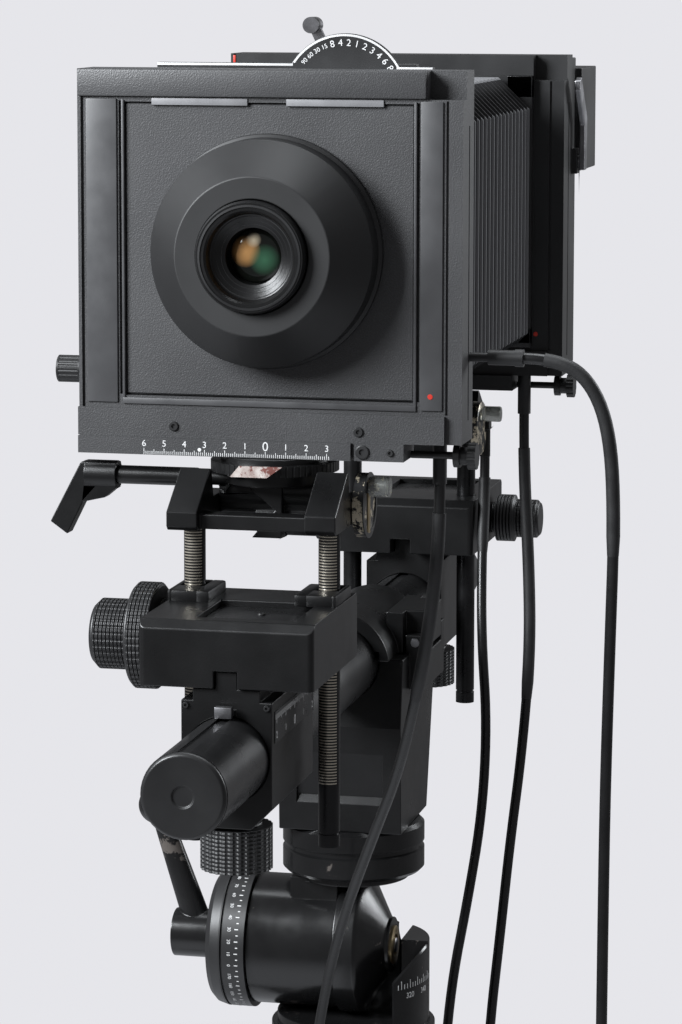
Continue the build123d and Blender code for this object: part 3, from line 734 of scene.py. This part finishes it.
# ---- shutter dial ----------------------------------------------------------------------
DIAL_X = 31
DIAL_Z = 72
DIAL_FRONT = 27.2
DIAL_WORDS = ["90", "60", "30", "15", "8", "4", "2", "1", "2", "3", "4", "6", "8"]
LEVER_LENGTH = 38.5
LEVER_TURN = math.radians(116)


def on_dial(degrees, radius, y):
    turn = math.radians(degrees)
    return Vector((DIAL_X + radius * math.cos(turn), y, DIAL_Z + radius * math.sin(turn)))


def shutter_dial_figures():
    """Figures round the dial, its broken white rim and the white edges of its plate."""
    marks = Shape()
    for i, word in enumerate(DIAL_WORDS):
        degrees = 138.5 - 8.8 * i
        turn = math.radians(degrees)
        out = Vector((math.cos(turn), 0, math.sin(turn)))
        right = Vector((math.sin(turn), 0, -math.cos(turn)))
        size = 4.6 if len(word) == 1 else 3.1
        marks.text(word, size, on_dial(degrees, 26.3, DIAL_FRONT + 0.05), right, out)
    for i in range(60):
        start = 146 - 2.0 * i
        end = start - 1.9
        corners = ((start, 29.5), (end, 29.5), (end, 30.5), (start, 30.5))
        outline = [on_dial(degrees, radius, DIAL_FRONT) for degrees, radius in corners]
        marks.plate(outline, (0, -0.08, 0))
    marks.box(-61.8, 5.6, 27.1, 27.35, 87.2, 88.3, 0.05)
    marks.box(56.4, 73.8, 27.1, 27.35, 85.9, 86.9, 0.05)
    marks.done("shutter_dial_figures", ink, "front_standard")


def dial_lever_knob():
    """Black knob with a bright cap at the end of the dial's lever."""
    x = DIAL_X + LEVER_LENGTH * math.cos(LEVER_TURN)
    z = DIAL_Z + LEVER_LENGTH * math.sin(LEVER_TURN)
    profile = [(0, -0.6), (2.0, -0.6), (3.7, 0), (3.95, 0.8), (3.95, 4.0), (3.2, 5.0), (0, 5.0)]
    knob = Shape().lathe(profile, (x, 32.9, z), TO_FRONT, 32)
    knob.done("dial_lever_knob", moulded, "shutter_lever", "black_plastic")
    profile = [(1.7, 0), (1.7, 0.25), (0.6, 0.35), (0.6, 0.1), (0, 0.1)]
    cap = Shape().lathe(profile, (x, 27.9, z), TO_FRONT, 24)
    cap.done("dial_lever_cap", chrome, "shutter_lever", "chrome_trim")


shutter_dial_figures()
dial_lever_knob()

# ---- carriage blocks and bearers ---------------------------------------------------------
key = Shape().box(-4.1, 4.1, -87.6, -83.6, -207.9, -202.6, 0.5)
key.done("front_rail_key", dull_steel, "front_carriage", "chrome_trim")
block_screws = Shape()
for x in (-19.2, 19.2):
    screw_head(block_screws, (x, -81.2, -203.4), TO_FRONT, 1.5)
block_screws.done("front_block_screws", satin, "front_carriage", "black_alloy")


def block_scale():
    """Scale plate on the right side of the front block."""
    plate = Shape().box(21.5, 22.0, -76, 1.2, -220.8, -206, 0.15)
    plate.done("front_block_scale", label_black, "front_carriage", "black_alloy")
    pitch = 17.7
    top = -207.4
    marks = Shape()
    for i, word in enumerate(("2", "1", "0", "1", "2")):
        size = 6.4 if word == "0" else 4.6
        marks.text(word, size, (22.02, pitch * i - 73, -217.3), TO_BACK, UPWARD)
    for i in range(42):
        tall = 4.4 if i % 10 == 1 else (3.4 if i % 5 == 1 else 2.4)
        y = pitch / 10 * i - 74.9
        marks.box(21.95, 22.06, y - 0.2, y + 0.2, top - tall, top, 0.02)
    marks.done("front_block_scale_figures", ink, "front_carriage")


def post_bosses():
    """A raised collar round each front post, in four blocks that leave the post free."""
    bosses = Shape()
    for sign in (-1, 1):
        for near, far, y0, y1, bevel in ((20.5, 27.4, -34, -1, 1.4), (38.6, 41, -34, -1, 1.0),
                                         (26, 40, -34, -18.7, 1.4), (26, 40, -7.3, -1, 1.4)):
            x0, x1 = sorted((sign * near, sign * far))
            bosses.box(x0, x1, y0, y1, -164.4, -158.6, bevel)
    bosses.done("front_post_bosses", cast, "front_slide", "black_alloy")


block_scale()
slide_plate("front_slide_plate", -70, -25, "front_slide")
plate_screw = Shape()
screw_head(plate_screw, (7.5, -44, -167.0), UPWARD, 1.9)
plate_screw.done("front_slide_plate_screw", satin, "front_slide", "black_alloy")
slide_plate("rear_slide_plate", 346, 391, "rear_slide")
post_bosses()

# ---- scales and levels at the tilt axes -----------------------------------------------------
rim_profile = [(15.9, 0), (15.9, 0.5), (13.6, 0.6), (13.2, 0.2)]
scale_rim = Shape().lathe(rim_profile, (46.4, SWING_Y, TILT_Z), TO_RIGHT, 48)
scale_rim.done("front_tilt_scale_rim", satin, "front_riser", "black_alloy")
scale_strip = Shape().box(46.3, 46.9, 9.8, 14.6, -137, -108, 0.2)
scale_strip.done("front_tilt_scale_strip", brass, "front_riser")
level_tube("front_level", 4.9, (46.6, SWING_Y, -113), "front_riser")
disc_profile = [(15, 0), (15, 4.6), (14.4, 5), (0, 5)]
rear_scale = Shape().lathe(disc_profile, (42, REAR_SWING_Y, TILT_Z), TO_RIGHT, 48)
rear_scale.done("rear_tilt_scale", scale_face, "rear_riser", "black_alloy")
level_tube("rear_level", 4.3, (47.2, 309, -114), "rear_riser")
pointer_outline = [(-10, -18.1, -100.8), (11, -18.1, -100.8), (4, -19.6, -105.8), (-14, -19.6, -105.8)]
pointer = Shape().plate(pointer_outline, (0, 0.8, 0.2))
pointer.done("front_swing_pointer", pointer_label, "front_swinger")
collar_profile = [(7.4, 0), (9.2, 0.4), (9.2, 3.4), (7.4, 3.8)]
collar = Shape().lathe(collar_profile, (21.2, SWING_Y, -130), TO_RIGHT, 40)
collar.done("front_tilt_collar", clip_grey, "front_tilter", "chrome_trim")

# ---- head ---------------------------------------------------------------------------------
HEAD_TILT_Z = -388
AXLE_END = (22, HEAD_Y, HEAD_TILT_Z)
RING_R = 37.45
WALL_R = 41.0

pin_end = Shape().lathe([(2.4, 0), (2.2, 0.6), (0, 0.7)], (36, 176, -220), TO_FRONT, 24)
pin_end.done("clamp_pin_end", dull_steel, "platform", "chrome_trim")
nut_profile = [(10.4, 0), (10.4, 0.9), (9.4, 1.2), (6, 1.2), (5.2, 0.5), (0, 0.5)]
nut = Shape().lathe(nut_profile, AXLE_END, TO_RIGHT, 48)
nut.done("head_axle_nut", brass, "head")
nut_middle = Shape().lathe([(4.0, 0.4), (4.0, 1.5), (3.2, 2.0), (0, 2.0)], AXLE_END, TO_RIGHT, 32)
nut_middle.done("head_axle_screw", dull_steel, "head", "chrome_trim")


def tilt_ring_figures():
    """A mark every 5 degrees round the tilt ring and a number every 10."""
    marks = Shape()
    along = Vector(TO_RIGHT)
    for degrees in range(0, 360, 5):
        turn = math.radians(degrees)
        normal = Vector((0, -math.cos(turn), math.sin(turn)))
        tangent = Vector((0, -math.sin(turn), -math.cos(turn)))
        numbered = degrees % 10 == 0
        reach = 2.0 if numbered else 1.2
        middle = Vector((-55.2, HEAD_Y, HEAD_TILT_Z)) + normal * RING_R
        mark_on(marks, middle, normal, tangent, along * -reach, 0.25)
        if numbered:
            place = Vector((-60.2, HEAD_Y, HEAD_TILT_Z)) + normal * (RING_R + 0.07)
            marks.text(str((degrees + 10) % 180), 2.5, place, tangent, along, 0.03)
    marks.done("head_tilt_figures", ink, "head")


def pan_wall():
    """Curved wall that stands on the pan base and falls away to the front."""
    wall = Shape()
    foot = -426
    steps = 12
    rows = []
    for i in range(steps + 1):
        turn = math.radians(-46 + 48 * i / steps)
        top = -386 - 14 * (1 - i / steps) ** 2
        section = ((WALL_R, foot), (WALL_R, top - 1), (40.3, top), (39.4, top - 0.6), (39.4, foot))
        row = []
        for radius, height in section:
            place = (radius * math.cos(turn), HEAD_Y + radius * math.sin(turn), height)
            row.append(wall.bm.verts.new(place))
        rows.append(row)
    for first, second in zip(rows, rows[1:]):
        for k in range(5):
            j = (k + 1) % 5
            wall.bm.faces.new((first[k], first[j], second[j], second[k]))
    wall.bm.faces.new(rows[0])
    wall.bm.faces.new(rows[-1])
    wall.done("head_pan_wall", gloss, "head", "black_alloy")


def pan_figures():
    """Marks every 3 degrees on the wall, with two numbers."""
    marks = Shape()
    numbers = {4: "320", 10: "340"}
    for i in range(15):
        turn = math.radians(-42 + 3 * i)
        normal = Vector((math.cos(turn), math.sin(turn), 0))
        tangent = Vector((-math.sin(turn), math.cos(turn), 0))
        tall = 4.5 if i % 3 == 1 else 2.6
        middle = Vector((0, HEAD_Y, -405)) + normal * WALL_R
        mark_on(marks, middle, normal, tangent, Vector((0, 0, tall)), 0.2)
        if i in numbers:
            place = Vector((0, HEAD_Y, -409)) + normal * (WALL_R + 0.05)
            marks.text(numbers[i], 4.2, place, tangent, UPWARD, 0.03)
    marks.done("head_pan_figures", ink, "head")


tilt_ring_figures()
pan_wall()
pan_figures()

# ---- lens -----------------------------------------------------------------------------------
LENS_RINGS = ((24.2, -37.9), (19.6, -32.6), (17.6, -31.2), (15.6, -30.0))   # radius and place in Y
GLASS_R = 13.1
GLASS_RISE = 3.2

rings = Shape()
for radius, y in LENS_RINGS:
    ring = [(radius + 0.5, -0.9), (radius + 0.5, 0), (radius - 0.5, 0.1), (radius - 0.7, -0.9)]
    rings.lathe(ring, (0, y, 0), TO_FRONT, 72)
rings.done("lens_rings", satin, "front_standard", "black_alloy")
dome = []
for i in range(8, -1, -1):
    turn = i * math.pi / 16
    dome.append((GLASS_R * math.sin(turn), GLASS_RISE * math.cos(turn)))
front_glass = Shape().lathe(dome, (0, -22.0, 0), TO_FRONT, 72)
front_glass.done("lens_front_glass", coated, "front_standard", "black_alloy")

# ---- floor and light -----------------------------------------------------------------
FLOOR_HALF = 2.4
FADE_START = 0.7
FADE_END = 2.2
BACKDROP = (0.80, 0.80, 0.83, 1)
BACKDROP_SEEN = (0.79, 0.79, 0.825, 1)


def floor_material():
    """Pale matt floor that fades out round the object."""
    material = surface("studio_floor_paint", grey(0.54, 1.03), grey(0.56, 1.03), 0.85, grain=1500,
                       patches=900)
    nodes = material.node_tree.nodes
    links = material.node_tree.links
    shader = nodes["Principled BSDF"]
    shader.inputs["Specular IOR Level"].default_value = 0.1
    reach = nodes.new("ShaderNodeVectorMath")
    reach.operation = "LENGTH"
    links.new(nodes.new("ShaderNodeTexCoord").outputs["Object"], reach.inputs[0])
    fade = nodes.new("ShaderNodeMapRange")
    fade.inputs["From Min"].default_value = FADE_START
    fade.inputs["From Max"].default_value = FADE_END
    links.new(reach.outputs["Value"], fade.inputs["Value"])
    fading = nodes.new("ShaderNodeMixShader")
    links.new(fade.outputs["Result"], fading.inputs[0])
    links.new(shader.outputs[0], fading.inputs[1])
    links.new(nodes.new("ShaderNodeBsdfTransparent").outputs[0], fading.inputs[2])
    links.new(fading.outputs[0], nodes["Material Output"].inputs["Surface"])
    return material


def studio_floor():
    half = FLOOR_HALF
    mesh = bpy.data.meshes.new("studio_floor")
    corners = [(-half, -half, 0), (half, -half, 0), (half, half, 0), (-half, half, 0)]
    mesh.from_pydata(corners, [], [(0, 1, 2, 3)])
    mesh.materials.append(floor_material())
    floor = bpy.data.objects.new("studio_floor", mesh)
    floor.location.z = -0.6 * MM
    bpy.context.collection.objects.link(floor)


def studio_world():
    """Even pale backdrop for the camera, and a weaker one that lights the object."""
    world = bpy.data.worlds.new("studio")
    bpy.context.scene.world = world
    world.use_nodes = True
    nodes = world.node_tree.nodes
    links = world.node_tree.links
    lighting = nodes["Background"]
    lighting.inputs["Color"].default_value = BACKDROP
    lighting.inputs["Strength"].default_value = 0.2
    seen = nodes.new("ShaderNodeBackground")
    seen.inputs["Color"].default_value = BACKDROP_SEEN
    ray = nodes.new("ShaderNodeLightPath")
    either = nodes.new("ShaderNodeMixShader")
    links.new(ray.outputs["Is Camera Ray"], either.inputs[0])
    links.new(lighting.outputs[0], either.inputs[1])
    links.new(seen.outputs[0], either.inputs[2])
    links.new(either.outputs[0], nodes["World Output"].inputs["Surface"])


def soft_light(name, place, target, size, power):
    """Square cool-white lamp that the camera does not see."""
    data = bpy.data.lights.new(name, "AREA")
    data.shape = "RECTANGLE"
    data.size = size
    data.size_y = size
    data.energy = power
    data.color = (0.93, 0.965, 1.0)
    lamp = bpy.data.objects.new(name, data)
    lamp.location = place
    lamp.visible_camera = False
    lamp.rotation_euler = (Vector(target) - Vector(place)).to_track_quat("-Z", "Y").to_euler()
    bpy.context.collection.objects.link(lamp)


studio_floor()
studio_world()
MIDDLE = (0, 0, 0.95)
soft_light("key_light", (-1.15, -1.15, 1.85), (0, -0.1, 1.0), 0.8, 84)
soft_light("rim_light", (1.9, 2.0, 1.7), MIDDLE, 1.0, 32)
soft_light("top_light", (0.3, 0.4, 3.0), MIDDLE, 1.6, 34)
bpy.context.scene.view_settings.view_transform = "Standard"
